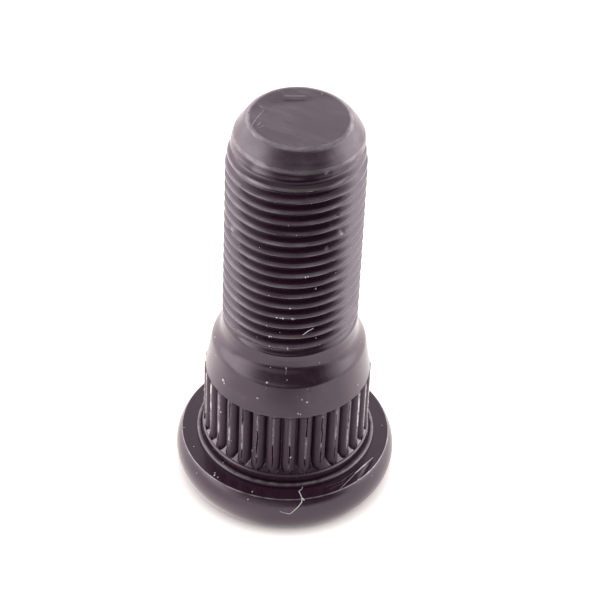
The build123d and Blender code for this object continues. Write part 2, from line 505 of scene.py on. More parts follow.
def lip_point(turn, radius, crest, share, height, side_highlight):
    """Turn, radius and wear of a point on a crest's lips or in the split between them."""
    along = ease(*LIP_RISE, height) * ease(*LIP_END, height)
    sideways = sin(turn) ** 2
    side = 1 if share > 0 else -1
    lip = patchy(crest, height, LIP_NOISE, side)
    burr = patchy(crest, height, BURR_NOISE, side)
    radius += along * (LIP_HEIGHT * (lip - LIP_DROP) + varied(BURR_HEIGHT, sideways) * burr)
    wander = CREST_WANDER * along * patchy(crest, height, WANDER_NOISE)
    turn += wander * tau / SPLINE_COUNT
    worn = LIP_WEAR + LIP_UNEVEN * lip + BURR_WEAR * burr + LIP_SIDE_HIGHLIGHT * side_highlight
    # The lips' wear grows towards the sides: a painted highlight
    wear_and_painted_light = worn * along * varied(LIP_WEAR_AND_HIGHLIGHT_SHARE, sideways)
    if abs(share) == CREST_SHARE:
        split = held(varied(SPLIT_SHARE, patchy(crest, height, SPLIT_NOISE)))
        radius -= SPLIT_DEPTH * along * split
        # The split is painted dull black: painted shade inside it
        wear_and_painted_light = wear_and_painted_light * (1 - split) - split
    return turn, radius, wear_and_painted_light


def spline_point(turn, number, share, height):
    """Turn, radius and wear of one point of the splines."""
    groove = groove_depth(share)
    ramp_depth = max((height - GROOVE_FOOT_Z) / GROOVE_RAMP, 0)
    past_ramp = ramp_depth - groove
    depth = 0 if height >= GROOVE_TOP_Z else min(groove, ramp_depth)
    radius = spline_base(height) - depth
    crest = (number + (1 if share > 0 else 0)) % SPLINE_COUNT
    sideways = sin(turn) ** 2
    side_highlight = ease(*SIDE_HIGHLIGHT_RISE, height) * sideways
    if abs(share) > LIP_SHARE:
        return lip_point(turn, radius, crest, share, height, side_highlight)
    if height >= GROOVE_TOP_Z - 2 * TOP_ROW_GAP:
        wear_and_painted_light = TOP_EDGE_WEAR
    elif past_ramp > 0:
        # Past the ramp the groove is dull black, partly oxide and partly painted shade, and the flanks at
        # the sides are a little lighter as painted light
        wear_and_painted_light = FLANK_SIDE_LIGHT * sideways + DULL_BLACK_AND_SHADE if abs(share) > SLIT_SHARE else DULL_BLACK_AND_SHADE
    elif ramp_depth > 0:
        # The ramps are lighter at the sides: a painted highlight
        wear_and_painted_light = RAMP_SIDE_HIGHLIGHT * sideways
    else:
        wear_and_painted_light = 0.0
    if abs(share) <= FLOOR_SHARE and depth > 0:
        radius -= SLIT_DEPTH * ease(*SLIT_RISE, past_ramp)
    if -ROUNDING < past_ramp < CRACK_REACH and depth > 0:
        crack = held(varied(CRACK_SHARE, patchy(turn, height, CRACK_NOISE)))
        radius -= varied(CRACK_DEPTH, sideways) * crack * (1 - max(past_ramp, 0) / CRACK_REACH)
        # The pocket is painted dull black: a painted shadow under the burr
        wear_and_painted_light = DULL_BLACK_AND_SHADE
    # Crest edges at the sides get a painted highlight, up to the brightest steel
    if abs(share) > EDGE_SHARE and past_ramp > 0 and height < SPLINE_TOP_Z:
        wear_and_painted_light += side_highlight * varied(CREST_EDGE_HIGHLIGHT, patchy(crest, height, CREST_EDGE_HIGHLIGHT_NOISE))
    return turn, radius, wear_and_painted_light


def spline_heights():
    """Heights of the rows of points up the splines."""
    crest_top = SPLINE_TOP_Z - SHOULDER_STEP
    shares = (CREST_SHARE, *reversed(HALF_SPLINE[:-2]))
    foot = [GROOVE_FOOT_Z + GROOVE_RAMP * groove_depth(share) for share in shares]
    rise = crest_top - foot[-1]
    count = ceil(rise / SPLINE_ROW)
    rows = [foot[-1] + rise * number / count for number in range(count)]
    top = [crest_top, SPLINE_TOP_Z, GROOVE_TOP_Z - TOP_ROW_GAP, GROOVE_TOP_Z]
    return [SPLINE_FOOT_Z, *foot[:-1], *rows, *top]


# Shank and thread


def shank_radius(height):
    """Radius of the shank before its thread is rolled, from the shoulder up to the tip's rim."""
    radius = SHOULDER_BASE_R + SHOULDER_SLOPE * (height - SPLINE_TOP_Z)
    slope = SHOULDER_SLOPE
    for corner, next_slope, reach in SHANK_CORNERS:
        radius += (next_slope - slope) * ramp(height - corner, reach)
        slope = next_slope
    tool_lines = TOOL_LINE * sin(tau * (TIP_Z - height) / TOOL_LINE_PITCH)
    return radius + tool_lines * ease(*TOOL_LINE_RISE, height)


def lead_offset(turn, height):
    """How much further out the lead and the chamfer stand at a turn."""
    shift = LEAD_SHIFT * cos(turn - LEAD_SHIFT_TURN) * ease(TAPER_Z, CHAMFER_Z, height)
    away = abs((turn - BULGE_TURN + pi) % tau - pi)
    on_chamfer = ease(*BULGE_RISE, height) * ease(*BULGE_END, height)
    return shift + BULGE * on_chamfer * ease(BULGE_HALF, 0, away)


def nick_at(turn, height):
    """How deep the nicks are at a place, and how bare it is there."""
    deep = bare = 0.0
    for nick_turn, nick_z, reach, depth in NICKS:
        if abs(height - nick_z) < reach:
            away = hypot((turn - radians(nick_turn)) * THREAD_R, NICK_WIDTH * (height - nick_z))
            share = ease(reach, NICK_FLOOR * reach, away)
            deep += depth * share
            bare = max(bare, share)
    return deep, bare


def thread_point(turn, height):
    """Radius, height and wear of a point of the threaded shank."""
    base = shank_radius(height) + lead_offset(turn, height)
    above = (height - FRONT_CREST_Z) / PITCH - turn / tau
    from_crest = abs((above + 0.5) % 1 - 0.5) * PITCH
    wall = ramp((from_crest - CREST_HALF) / FLANK, CREST_ROUND)
    depth = THREAD_DEPTH - ramp(THREAD_DEPTH - wall, ROOT_ROUND)
    fade = ease(*RUN_OUT, height) * (1 - ease(*LEAD_OUT, height))
    right_patch = fade * ease(*RIGHT_PATCH_START, turn) * ease(*RIGHT_PATCH_END, turn)
    cut = ramp(depth - max(THREAD_R - base, 0), CREST_ROUND) * fade * (1 - RIGHT_PATCH_FILL * right_patch)
    crest = fade * ease(CREST_HALF + CREST_EDGE, CREST_HALF, from_crest) * (1 - RIGHT_PATCH_DULL * right_patch)
    rough = patchy(turn, height, CREST_NOISE)
    nick, bare = nick_at(turn, height)
    radius = base - cut - CREST_DENT * crest * max(rough, 0) - nick
    near_tip = TIP_CREST_WEAR * ease(*TIP_CREST_RISE, height) * ease(*TIP_CREST_END, height)
    from_edge = abs(height - CHAMFER_Z + LEAD_EDGE_DROP)
    wear_and_painted_light = max(
        crest * (CREST_WEAR + near_tip + CREST_UNEVEN * rough),
        bare * (1 - cut / THREAD_DEPTH),
        varied(LEAD_EDGE_WEAR, rough) * ease(*LEAD_EDGE_REACH, from_edge),
        CHAMFER_WEAR * ease(*CHAMFER_WEAR_RISE, height),
        right_patch * varied(RIGHT_PATCH_LIGHTER, patchy(turn, height, RIGHT_PATCH_NOISE)),
    )
    return radius, height, wear_and_painted_light


def thread_grid(skin, turns, bottom, top):
    """The threaded shank, with rows of points that climb round it as the thread does."""
    seam_crest = FRONT_CREST_Z + PITCH * turns[0] / tau
    start = seam_crest - PITCH * ceil((seam_crest - SHOULDER_TOP_Z + GRID_DROP) / PITCH)
    rows = []
    for number in range(GRID_TURNS):
        rows += [start + PITCH * (number + share) for share in TURN_ROWS]
    rows.append(start + PITCH * GRID_TURNS)
    grid = []
    for row in rows:
        line = []
        for turn in turns:
            height = row + PITCH * (turn - turns[0]) / tau
            line.append(skin.point(turn, *thread_point(turn, height)))
        grid.append(line)
    last = len(turns) - 1
    per_turn = len(TURN_ROWS)
    for lower, upper in (*zip(grid, grid[1:]), (bottom, grid[0]), (grid[-1], top)):
        for near in range(last):
            skin.faces.append((lower[near], lower[near + 1], upper[near + 1], upper[near]))
    for number in range(len(grid) - 1 - per_turn):
        low_end, high_end = grid[number], grid[number + 1]
        low_start, high_start = grid[number + per_turn], grid[number + per_turn + 1]
        skin.faces.append((low_end[last], low_start[0], high_start[0], high_end[last]))
    first_column = [line[0] for line in grid[:per_turn + 1]]
    skin.faces.append((bottom[last], bottom[0], *first_column, grid[0][last]))
    last_column = [line[last] for line in reversed(grid[-1 - per_turn:])]
    skin.faces.append((grid[-1][0], top[0], top[last], *last_column))


# Tip


def tip_height(x, y):
    """Height of the flat end, with its facets and its pad."""
    height = FACE_Z + FACE_LEAN * y
    for (crease_x, crease_y), way, fall, reach in TIP_FACETS:
        past = (x - crease_x) * cos(way) + (y - crease_y) * sin(way)
        height -= fall * ramp(past, reach)
    dx, dy = x - PAD_MIDDLE[0], y - PAD_MIDDLE[1]
    along = abs(dx * cos(PAD_TURN) + dy * sin(PAD_TURN)) - PAD_HALF[0]
    across = abs(dy * cos(PAD_TURN) - dx * sin(PAD_TURN)) - PAD_HALF[1]
    inside = ease(PAD_EDGE, -PAD_EDGE, along) * ease(PAD_EDGE, -PAD_EDGE, across)
    return height + PAD_HEIGHT * inside


def rim_wear_and_highlight(turn):
    """How worn the rim of the flat end is at a turn, partly a painted highlight along it."""
    patch = ease(*TIP_PATCH_REACH, abs(turn - TIP_PATCH_TURN))
    spots = uneven(TIP_RIM_NOISE[0] * turn, TIP_RIM_NOISE[1])
    return min(varied(TIP_RIM_WEAR_AND_HIGHLIGHT, spots) + TIP_PATCH_WEAR * patch, 1)


def tip_rings(skin, turns):
    """Rings from the chamfer over the rounded rim and across the flat end."""
    rim_start = (shank_radius(TIP_Z - TIP_ROUND), TIP_Z - TIP_ROUND)
    edge = bend(rim_start, (TIP_R, FACE_Z), (TIP_R - TIP_ROUND, FACE_Z), TIP_EDGE_STEPS)
    rows = [(*point, number / TIP_EDGE_STEPS) for number, point in enumerate(edge)]
    for step in range(1, FLAT_STEPS):
        rows.append(((TIP_R - TIP_ROUND) * (1 - step / FLAT_STEPS), FACE_Z, 1))
    rings = []
    for radius, height, share in rows:
        worn = sin(pi * share) if share < 1 else 0.0
        line = []
        for turn in turns:
            reach = radius * (1 + lead_offset(turn, TIP_Z) / TIP_R)
            lift = tip_height(reach * sin(turn), -reach * cos(turn)) - FACE_Z
            line.append(skin.point(turn, reach, height + lift * share, worn * rim_wear_and_highlight(turn)))
        rings.append(line)
    return rings


def make_stud():
    """The whole stud as one closed surface."""
    skin = Skin()
    fine = spline_turns()
    turns = [turn for turn, number, share in fine[::COARSE_STEP]]
    head = []
    for radius, height, wear_and_painted_light in head_outline():
        head.append([skin.point(turn, *head_point(turn, radius, height, wear_and_painted_light)) for turn in turns])
    skin.cap(head[0], 0, upward=False)
    skin.stack(head)
    splines = []
    for height in spline_heights():
        line = []
        for turn, number, share in fine:
            point_turn, radius, wear_and_painted_light = spline_point(turn, number, share, height)
            line.append(skin.point(point_turn, radius, height, wear_and_painted_light))
        splines.append(line)
    skin.graft(head[-1], splines[0], COARSE_STEP, upward=True)
    rising = [share < 0 for turn, number, share in fine]
    for lower, upper in zip(splines, splines[1:]):
        skin.fold(lower, upper, rising)
    shoulder = []
    for height in SHOULDER_ROWS:
        radius = shank_radius(height)
        shoulder.append([skin.point(turn, radius, height) for turn in turns])
    skin.graft(shoulder[0], splines[-1], COARSE_STEP, upward=False)
    skin.stack(shoulder)
    tip_base_z = TIP_Z - TIP_ROUND - TIP_BASE_GAP
    tip_base_r = shank_radius(tip_base_z)
    tip_base = [skin.point(turn, tip_base_r + lead_offset(turn, tip_base_z), tip_base_z) for turn in turns]
    thread_grid(skin, turns, shoulder[-1], tip_base)
    tip = [tip_base, *tip_rings(skin, turns)]
    skin.stack(tip)
    skin.cap(tip[-1], FACE_Z, upward=True)
    return skin


# Small marks that lie on the stud: dust, lint and scratches

# Where rays towards the surface start: from the axis, and above the tip
SIDE_RAY_START = 20
TOP_RAY_GAP = 1

# A grain of dust, in shares of its half size
GRAIN_SIDES = 7
GRAIN_REACH = (0.6, 1.25)
GRAIN_RIM_LIFT = 0.15
GRAIN_TOP = (0.5, 0.9)
GRAIN_SUNK = 0.2

# A thin band: how far past its ends it would shrink to nothing, in steps, and how full it is in between
BAND_END = 0.4
BAND_FULLNESS = 0.4

# Dust seen on the sides (turn in degrees, height, half size) and on the seat (x, y, half size)
SIDE_DUST = (
    (22.4, 33.4, 0.1), (27.2, 32.2, 0.1), (-0.2, 31.33, 0.13), (-10.5, 29.78, 0.13), (-5.6, 29.8, 0.13),
    (-7.6, 29.79, 0.1), (1.9, 29.82, 0.13), (3.2, 29.8, 0.1), (-18.7, 28.25, 0.1), (-16.2, 26.76, 0.13),
    (-14.6, 26.77, 0.1), (24.8, 25.9, 0.08), (-15.9, 25.26, 0.1), (11.3, 35.9, 0.13), (13.0, 35.92, 0.1),
    (-51.5, 18.1, 0.2), (-50.2, 17.8, 0.15), (-14.8, 20.6, 0.13), (-79.9, 20.9, 0.1), (-20.7, 18.2, 0.1),
    (-0.1, 21.1, 0.07), (59.4, 17.3, 0.09), (-1.3, 22.4, 0.07), (11.1, 18.6, 0.08), (14.7, 18.2, 0.13),
    (78.1, 21.3, 0.1), (8.6, 16.7, 0.12), (10.2, 16.6, 0.1), (-50.7, 13.3, 0.14), (-23.1, 9.7, 0.12),
    (4.5, 9.9, 0.12), (15.0, 15.4, 0.11), (14.8, 14.8, 0.13), (-33.0, 3.2, 0.09), (-52.6, 4.6, 0.08),
    (-18.2, 4.9, 0.08), (34.3, 3.2, 0.08), (10.6, 3.1, 0.09), (12.0, 3.0, 0.07), (55.5, 4.8, 0.07),
)
SEAT_DUST = (
    (-8.2, -9.1, 0.14), (-8.2, -8.7, 0.12), (-7.8, -9.4, 0.1), (-3.6, -11.6, 0.08), (-12.4, -1.0, 0.09),
    (-11.0, -4.3, 0.11), (11.9, 0.9, 0.09), (-7.3, -7.3, 0.13),
)

# Fine dust all round, with heights and half sizes drawn between two bounds
FINE_DUST = 130
FINE_DUST_SEED = 5
FINE_DUST_HEIGHTS = (1.5, TIP_Z - 3)
FINE_DUST_SIZES = (0.03, 0.06)

# Lint by its corners: a long fibre on the head with its spur, and two short ones on the thread
LINT = (
    (2.46, -10.58, 5.67), (1.98, -11.22, 5.5), (2.35, -12.3, 5.5), (2.32, -12.63, 5.14),
    (2.04, -12.86, 4.78), (1.0, -13.25, 3.71), (0.1, -13.26, 3.96), (-0.25, -13.23, 4.11),
)
LINT_SPUR = ((2.35, -12.3, 5.5), (2.56, -12.42, 5.43), (2.62, -12.5, 5.3))
THREAD_LINT = ((-0.11, -8.0, 25.5), (-0.05, -8.0, 25.1), (-0.08, -8.0, 24.75))
LOOSE_LINT = ((1.57, -7.86, 27.4), (2.05, -7.78, 27.85), (2.72, -7.56, 28.2))  # across the thread's crests
LINT_THICKNESS = 0.055
LINT_SIDES = 6
LINT_STEP = 0.15

# Scratches with a raised burr: their corners, half width, height and how bare they are
SCRATCHES = (
    (((6.72, -10.71, 5.5), (9.19, -6.98, 5.5)), 0.06, 0.03, 0.5),
    (((8.6, -7.8, 5.5), (9.4, -6.7, 5.5), (10.79, -4.87, 5.5)), 0.13, 0.1, 0.7),
    (((5.1, -10.3, 5.5), (7.0, -9.2, 5.5), (8.6, -7.4, 5.5)), 0.05, 0.02, 0.2),
    (((5.6, -10.6, 5.5), (7.3, -9.4, 5.5)), 0.05, 0.02, 0.2),
    (((8.9, -8.85, 5.45), (9.5, -8.4, 5.45)), 0.1, 0.05, 0.9),
    (((-0.1, -7.9, 22.6), (-0.2, -8.3, 21.5)), 0.05, 0.02, 0.3),
    (((-5.22, -2.4, 52.3), (-4.6, -0.6, 52.3), (-3.82, 1.07, 52.3)), 0.07, 0.02, 0.6),
    (((-4.4, 1.98, 52.3), (-3.94, 1.44, 52.3)), 0.06, 0.02, 0.6),
    (((-4.24, -2.34, 52.3), (-3.72, -1.74, 52.3)), 0.07, 0.02, 0.7),
    (((-4.5, -1.9, 52.3), (-4.1, -1.2, 52.3)), 0.06, 0.02, 0.6),
    (((2.51, 4.7, 52.3), (2.52, 4.41, 52.3)), 0.06, 0.02, 0.6),
)
SCRATCH_SUNK = 0.01
SCRATCH_STEP = 0.2


def on_side(surface, turn, height):
    """Place and outward normal of the surface at a turn, in degrees, and a height."""
    out = Vector((sin(radians(turn)), -cos(radians(turn)), 0))
    return surface.ray_cast(SIDE_RAY_START * out + Vector((0, 0, height)), -out)[:2]


def on_top(surface, x, y):
    """Place and outward normal of the topmost surface at a place seen from above."""
    return surface.ray_cast(Vector((x, y, TIP_Z + TOP_RAY_GAP)), Vector((0, 0, -1)))[:2]


def laid(surface, corners, step):
    """Places and normals along a line through the corners, each dropped on the nearest surface."""
    spots = []
    for start, end in zip(corners, corners[1:]):
        start, end = Vector(start), Vector(end)
        count = ceil((end - start).length / step)
        for number in range(count):
            spots.append(surface.find_nearest(start.lerp(end, number / count))[:2])
    return [*spots, surface.find_nearest(Vector(corners[-1]))[:2]]


def add_grain(skin, place, normal, size, draw):
    """A grain of dust with an uneven rim, lying on the surface."""
    across = normal.orthogonal().normalized()
    along = normal.cross(across)
    rim = []
    for number in range(GRAIN_SIDES):
        angle = tau * number / GRAIN_SIDES
        reach = size * draw.uniform(*GRAIN_REACH)
        out = cos(angle) * across + sin(angle) * along
        rim.append(skin.spot(place + reach * out + GRAIN_RIM_LIFT * size * normal))
    top = skin.spot(place + draw.uniform(*GRAIN_TOP) * size * normal)
    bottom = skin.spot(place - GRAIN_SUNK * size * normal)
    for near, far in neighbours(GRAIN_SIDES):
        skin.faces.append((rim[near], rim[far], top))
        skin.faces.append((rim[far], rim[near], bottom))


def add_band(skin, spots, section, wear_and_painted_light):
    """A thin band along some spots, closed at its narrow ends, with its section given across and up."""
    rows = []
    last = len(spots) - 1
    for number, (place, normal) in enumerate(spots):
        ahead = spots[min(number + 1, last)][0] - spots[max(number - 1, 0)][0]
        side = ahead.cross(normal).normalized()
        swell = sin(pi * (number + BAND_END) / (last + 2 * BAND_END)) ** BAND_FULLNESS
        places = [place + swell * (across * side + up * normal) for across, up in section]
        rows.append([skin.spot(corner, wear_and_painted_light) for corner in places])
    for lower, upper in zip(rows, rows[1:]):
        for near, far in neighbours(len(section)):
            skin.faces.append((lower[far], lower[near], upper[near], upper[far]))
    skin.faces.append(tuple(rows[0]))
    skin.faces.append(tuple(reversed(rows[-1])))


def make_dust(surface):
    """The dust that the photograph shows, and fine dust all round."""
    skin = Skin()
    draw = Random(FINE_DUST_SEED)
    for turn, height, size in SIDE_DUST:
        add_grain(skin, *on_side(surface, turn, height), size, draw)
    for x, y, size in SEAT_DUST:
        add_grain(skin, *on_top(surface, x, y), size, draw)
    for number in range(FINE_DUST):
        turn = draw.uniform(-180, 180)
        height = draw.uniform(*FINE_DUST_HEIGHTS)
        size = draw.uniform(*FINE_DUST_SIZES)
        add_grain(skin, *on_side(surface, turn, height), size, draw)
    return skin.to_object("dust_grains", sharp_angle=30)


def make_lint(surface):
    """Thin round fibres, one of them free of the surface."""
    skin = Skin()
    angles = [tau * number / LINT_SIDES for number in range(LINT_SIDES)]
    section = [(LINT_THICKNESS * cos(angle), LINT_THICKNESS * (1 + sin(angle))) for angle in angles]
    for corners in (LINT, LINT_SPUR, THREAD_LINT):
        add_band(skin, laid(surface, corners, LINT_STEP), section, 0.0)
    loose = [(Vector(corner), Vector((corner[0], corner[1], 0)).normalized()) for corner in LOOSE_LINT]
    add_band(skin, loose, section, 0.0)
    return skin.to_object("lint_fibre", sharp_angle=60)


def make_scratches(surface):
    skin = Skin()
    for corners, half, height, wear_and_painted_light in SCRATCHES:
        section = ((half, -SCRATCH_SUNK), (0.0, height), (-half, -SCRATCH_SUNK))
        add_band(skin, laid(surface, corners, SCRATCH_STEP), section, wear_and_painted_light)
    return skin.to_object("scratch_burrs", sharp_angle=30)


# Materials

# Colours of the steel, its oxide and the wiped film on it; the grooves' black is partly painted shade, and
# the brightest steel is mostly a painted highlight
BLACK_OXIDE = (0.035, 0.011, 0.026, 1)
DULL_OXIDE = (0.028, 0.009, 0.021, 1)
GROOVE_BLACK_AND_SHADE = (0.026, 0.001, 0.02, 1)
OXIDE_TINT = (1.0, 0.85, 0.98, 1)
BARE_STEEL = (0.5, 0.46, 0.48, 1)
BRIGHT_STEEL_AND_HIGHLIGHT = (0.95, 0.9, 0.9, 1)
PALE_FILM = (0.13, 0.107, 0.118, 1)
OXIDE_IOR = 1.85

# Noise in the materials: blotches in a metre and levels of detail
MOTTLING = (900.0, 4.0)
GRAIN = (5200.0, 2.0)
FINE_LINES = (5200.0, 1.0)
STREAKS = (1600.0, 3.0)
SMEARS = (420.0, 5.0)
DUST_BLOTCHES = (2500.0, 3.0)
NOISE_SPAN = (0.3, 0.7)  # most of the noise lies in between

# Streaks of wear that run round the stud: their scales round it and along its outline, and how they show
STREAK_ROUND = 0.003
STREAK_ALONG = 3.0
STREAK_SPAN = (0.3, 0.65, 0.4, 1.0)

# Wiped film: the smears' turn, stretch and strength, and how much of it lies on each part
SMEAR_TURN = radians(-28)
SMEAR_STRETCH = (2.6, 0.7, 1.0)
SMEAR_SPAN = (0.45, 0.7, 0.0, 0.75)
TIP_FILM_RISE = (TIP_Z - 0.15, TIP_Z - 0.05)
CHAMFER_FILM = 0.6
CHAMFER_FILM_RISE = (CHAMFER_Z, CHAMFER_Z + 0.5)
SHOULDER_FILM = 0.28
SHOULDER_FILM_RISE = (SPLINE_TOP_Z, SPLINE_TOP_Z + 1)
SHOULDER_FILM_END = (RUN_IN_TOP_Z, LAND_TOP_Z)

# Roughness of the finish
SATIN = (0.24, 0.2)  # from dull to black oxide
GRAIN_SATIN = (-0.02, 0.02)
ROLLED_GLOSS = 0.09  # how much less rough the rolled thread is
ROLLED_RISE = (RUN_IN_TOP_Z, LAND_TOP_Z + 1)
ROLLED_END = (CHAMFER_Z - 1, CHAMFER_Z)
DULL_ROUGHER = 0.42
BARE_ROUGHER = 0.22

# Black of the grooves, partly oxide and partly painted shade: where the dull wear turns into it, and how
# much of it shows
GROOVE_SHADE_SPAN = (0.7, 1.0, 0.0, 0.85)

# Fine relief
LINE_RELIEF = 0.6
GRAIN_RELIEF = 0.5

# Dust and lint
PALE_DUST = (0.72, 0.68, 0.67, 1)
WHITE_DUST = (0.96, 0.95, 0.94, 1)

# Floor, with its glow as it is seen, low beside the stud as a painted shadow, and as it is mirrored, a
# painted reflection that is brighter towards the back with a painted pool of light at the stud's left; its
# lengths are in metres
FLOOR_WHITE = (0.9, 0.9, 0.9, 1)
FLOOR_GLOW_COLOUR = (1.0, 0.9, 0.84, 1)
PAINTED_SHADOW_REACH = (0.012, 0.014)  # distance from the stud's axis
SEEN_GLOW_AND_PAINTED_SHADOW = (0.12, 0.8)  # beside the stud and further out
# Glow that only glossy rays see, dimmer at the front and brighter towards the back: a painted reflection
PAINTED_REFLECTION_REACH = (-0.015, 0.012)  # from front to back
PAINTED_REFLECTION_GLOW = (0.33, 1.0)
# A painted pool of light on the floor close to the stud's left, seen only in reflections
PAINTED_LEFT_LIGHT = 0.65  # added close to the stud's left
PAINTED_LEFT_LIGHT_REACH = (0.013, 0.022)  # distance from the stud's axis
PAINTED_LEFT_LIGHT_EDGE = (-0.002, -0.008)  # from right to left


def new_material(name):
    """A node material, with its tree and its Principled shader."""
    material = bpy.data.materials.new(name)
    material.use_nodes = True
    return material, material.node_tree, material.node_tree.nodes["Principled BSDF"]


def set_inputs(tree, node, inputs):
    """Sets inputs of a node to values, or links them to outputs."""
    for socket, value in inputs.items():
        if isinstance(value, bpy.types.NodeSocket):
            tree.links.new(value, node.inputs[socket])
        else:
            node.inputs[socket].default_value = value


def add(tree, kind, inputs=None, **settings):
    """A shader node with its settings and its inputs."""
    node = tree.nodes.new("ShaderNode" + kind)
    for setting, value in settings.items():
        setattr(node, setting, value)
    set_inputs(tree, node, inputs or {})
    return node


def result(tree, operation, *values):
    """The result of a Math node on numbers or outputs."""
    return add(tree, "Math", dict(enumerate(values)), operation=operation).outputs[0]


def times(tree, first, second):
    """The product of two numbers or outputs."""
    return result(tree, "MULTIPLY", first, second)


def located(tree, kind):
    """Coordinates of a kind, and their three parts."""
    place = add(tree, "TexCoord").outputs[kind]
    return place, tuple(add(tree, "SeparateXYZ", {"Vector": place}).outputs)


def span(tree, value, start, end, low, high):
    """A value carried from one range to another, held within it."""
    inputs = {"Value": value, "From Min": start, "From Max": end, "To Min": low, "To Max": high}
    return add(tree, "MapRange", inputs).outputs["Result"]


def blotches(tree, vector, scale, detail):
    """Noise between 0 and 1, with so many blotches in a metre."""
    inputs = {"Vector": vector, "Scale": scale, "Detail": detail, "Roughness": 0.6}
    return add(tree, "TexNoise", inputs).outputs["Fac"]


def mixed(tree, factor, first, second):
    """A colour between two others, by the numbers of the mix node's colour sockets."""
    return add(tree, "Mix", {0: factor, 6: first, 7: second}, data_type="RGBA").outputs[2]


def steel_material():
    """Oiled black steel: satin, faintly mottled, with fine tool lines round it, lighter worn edges that are
    partly painted highlight, and black grooves that are partly painted shade.
    """
    material, tree, shader = new_material("black_steel_finish")
    place, (x, y, z) = located(tree, "Object")
    squares = [result(tree, "POWER", axis, 2.0) for axis in (x, y)]
    radius = result(tree, "SQRT", result(tree, "ADD", *squares))
    outline = add(tree, "CombineXYZ", {"X": radius, "Y": z}).outputs[0]

    def by_height(heights, low, high):
        start, end = heights
        return span(tree, z, start * MM, end * MM, low, high)

    # How dull, bare and bright the steel is; the dull black carries painted shade and the brightest steel
    # painted highlight
    wear_and_painted_light = add(tree, "Attribute", attribute_name="wear_and_painted_light").outputs["Fac"]
    dull_and_shade = span(tree, wear_and_painted_light, 0.0, DULL_BLACK_AND_SHADE, 0.0, 1.0)
    bare = span(tree, wear_and_painted_light, 0.0, BARE, 0.0, 1.0)
    bright_and_highlight = span(tree, wear_and_painted_light, BARE, BRIGHTEST_AND_HIGHLIGHT, 0.0, 1.0)
    streak_x, streak_y = [
        times(tree, result(tree, "DIVIDE", axis, radius), STREAK_ROUND) for axis in (x, y)
    ]
    streak_z = times(tree, result(tree, "ADD", z, radius), STREAK_ALONG)
    streaked = add(tree, "CombineXYZ", {"X": streak_x, "Y": streak_y, "Z": streak_z}).outputs[0]
    streaks = blotches(tree, streaked, *STREAKS)
    patches = times(tree, bare, span(tree, streaks, *STREAK_SPAN))
    patches = result(tree, "MAXIMUM", patches, bright_and_highlight)

    # Colour: mottled oxide, black in the grooves that is partly painted shade, filmed where it was wiped,
    # and the steel where it is bare, brightest where it is a painted highlight
    mottling = blotches(tree, place, *MOTTLING)
    dark = mixed(tree, span(tree, mottling, *NOISE_SPAN, 0.0, 1.0), DULL_OXIDE, BLACK_OXIDE)
    dark = mixed(tree, span(tree, dull_and_shade, *GROOVE_SHADE_SPAN), dark, GROOVE_BLACK_AND_SHADE)
    wiping = {"Vector": place, "Rotation": (0, 0, SMEAR_TURN), "Scale": SMEAR_STRETCH}
    wiped = add(tree, "Mapping", wiping, vector_type="TEXTURE").outputs["Vector"]
    smears = span(tree, blotches(tree, wiped, *SMEARS), *SMEAR_SPAN)
    on_tip = by_height(TIP_FILM_RISE, 0.0, 1.0)
    on_chamfer = by_height(CHAMFER_FILM_RISE, 0.0, CHAMFER_FILM)
    above_splines = by_height(SHOULDER_FILM_RISE, 0.0, SHOULDER_FILM)
    on_shoulder = times(tree, above_splines, by_height(SHOULDER_FILM_END, 1.0, 0.0))
    film = result(tree, "MAXIMUM", result(tree, "MAXIMUM", on_tip, on_chamfer), on_shoulder)
    dark = mixed(tree, times(tree, smears, film), dark, PALE_FILM)
    steel = mixed(tree, bright_and_highlight, BARE_STEEL, BRIGHT_STEEL_AND_HIGHLIGHT)
    colour = mixed(tree, patches, dark, steel)
    set_inputs(tree, shader, {"Base Color": colour, "Metallic": patches})
    set_inputs(tree, shader, {"IOR": OXIDE_IOR, "Specular Tint": OXIDE_TINT})

    # Roughness: satin, glossier on the rolled thread, rougher where it is dull or bare
    grain = blotches(tree, place, *GRAIN)
    mottled_satin = span(tree, mottling, *NOISE_SPAN, *SATIN)
    satin = result(tree, "ADD", mottled_satin, span(tree, grain, *NOISE_SPAN, *GRAIN_SATIN))
    rolled = times(tree, by_height(ROLLED_RISE, 0.0, 1.0), by_height(ROLLED_END, 1.0, 0.0))
    satin = result(tree, "SUBTRACT", satin, times(tree, rolled, ROLLED_GLOSS))
    rougher = result(tree, "MAXIMUM", times(tree, dull_and_shade, DULL_ROUGHER), times(tree, patches, BARE_ROUGHER))
    set_inputs(tree, shader, {"Roughness": result(tree, "ADD", satin, rougher)})

    # Relief: fine lines round the stud, and grain
    lines = blotches(tree, outline, *FINE_LINES)
    height = result(tree, "ADD", times(tree, lines, LINE_RELIEF), times(tree, grain, GRAIN_RELIEF))
    bump = add(tree, "Bump", {"Height": height, "Strength": 0.12, "Distance": 0.00002})
    set_inputs(tree, shader, {"Normal": bump.outputs["Normal"]})
    return material


def dust_material():
    """Pale dust and lint, a little uneven."""
    material, tree, shader = new_material("pale_dust")
    place = add(tree, "TexCoord").outputs["Object"]
    colour = mixed(tree, blotches(tree, place, *DUST_BLOTCHES), PALE_DUST, WHITE_DUST)
    set_inputs(tree, shader, {"Base Color": colour, "Roughness": 0.8})
    return material


